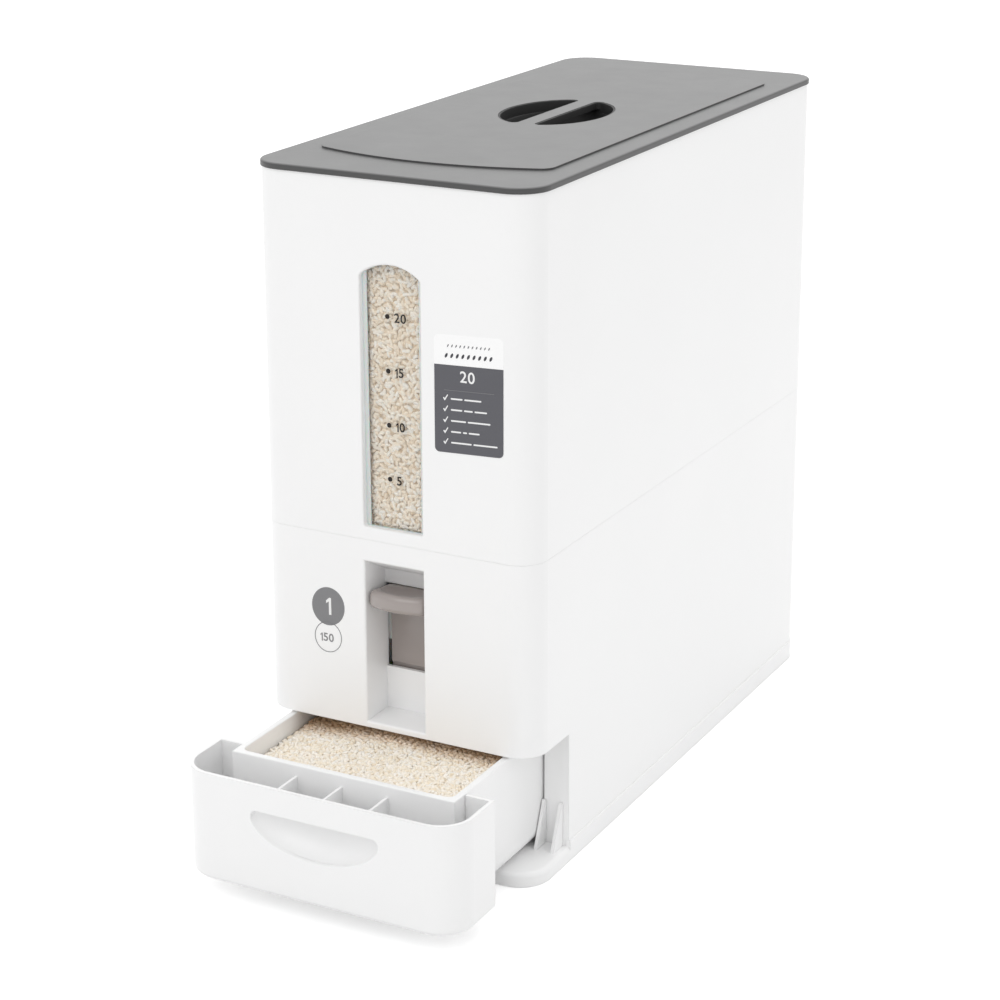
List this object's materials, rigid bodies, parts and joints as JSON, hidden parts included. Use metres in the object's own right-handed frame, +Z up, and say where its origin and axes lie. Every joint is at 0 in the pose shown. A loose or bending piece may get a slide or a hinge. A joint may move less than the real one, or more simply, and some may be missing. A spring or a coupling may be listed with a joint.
{
  "type": "rice dispenser with drawer",
  "caption": "Tall white rice bin with a level window and flat lid; a press button turns a measuring drum that drops one cup into a pull-out drawer.",
  "frame": {"origin": "centre of the base's footprint, on the floor plane", "axes": "+X to the right as seen from the front, -Y is the front where the drawer opens, +Z up"},
  "size_m": [0.1908, 0.5267, 0.4283],
  "materials": {
    "white_shell": "satin",
    "natural_inner": "satin",
    "clear_window": "polished",
    "grey_lid": "fine satin",
    "dark_cup": "gloss",
    "silicone": "matt",
    "taupe_button": "satin",
    "drum_clear": "satin",
    "steel": "bright",
    "gear_plastic": "satin",
    "pad_rubber": "matt"
  },
  "bodies": {
    "stand": {"upper_bin": "white_shell", "lower_housing": "white_shell", "base_tray": "white_shell", "hopper_funnel": "natural_inner", "deck_plate": "natural_inner", "guide_frame": "natural_inner", "meter_case_upper": "natural_inner", "meter_case_lower": "natural_inner", "window_pane": "clear_window", "spring_pin": "steel", "return_spring": "steel", "drum_bush_left": "gear_plastic", "drum_bush_right": "gear_plastic", "base_screws": "steel", "deck_screws": "steel", "case_screws": "steel", "guide_screws": "steel", "foot_pad_front_left": "pad_rubber", "foot_pad_front_right": "pad_rubber", "foot_pad_rear_left": "pad_rubber", "foot_pad_rear_right": "pad_rubber"},
    "lid": {"lid_panel": "grey_lid", "lid_seal": "silicone", "handle_cup": "dark_cup"},
    "drawer": {"drawer_front": "white_shell", "drawer_box": "white_shell"},
    "press": {"press_cap": "taupe_button", "press_carriage": "natural_inner"},
    "drum": {"measuring_drum": "drum_clear", "drum_axle": "steel", "pinion_left": "gear_plastic", "pinion_right": "gear_plastic", "axle_clips": "steel"}
  },
  "joints": [
    {"name": "drawer_slide", "type": "slide", "parent": "stand", "child": "drawer", "axis": [0, -1, 0], "range_m": [-0.096, 0.044]},
    {"name": "press_slide", "type": "slide", "parent": "stand", "child": "press", "axis": [0, 0, -1], "range_m": [0, 0.028], "stiffness_N_per_m": 150, "springref_m": -0.02, "deforming": ["return_spring"]},
    {"name": "drum_turn", "type": "hinge", "parent": "stand", "child": "drum", "pos_m": [0, -0.13505, 0.124], "axis": [1, 0, 0], "range_deg": [0, 152.8]},
    {"name": "lid_lift", "type": "slide", "parent": "stand", "child": "lid", "axis": [0, 0, 1], "range_m": [0, 0.06]}
  ],
  "couplings": [
    {"joint": "drum_turn", "follows": "press_slide", "rad_per_m": 95.238}
  ]
}
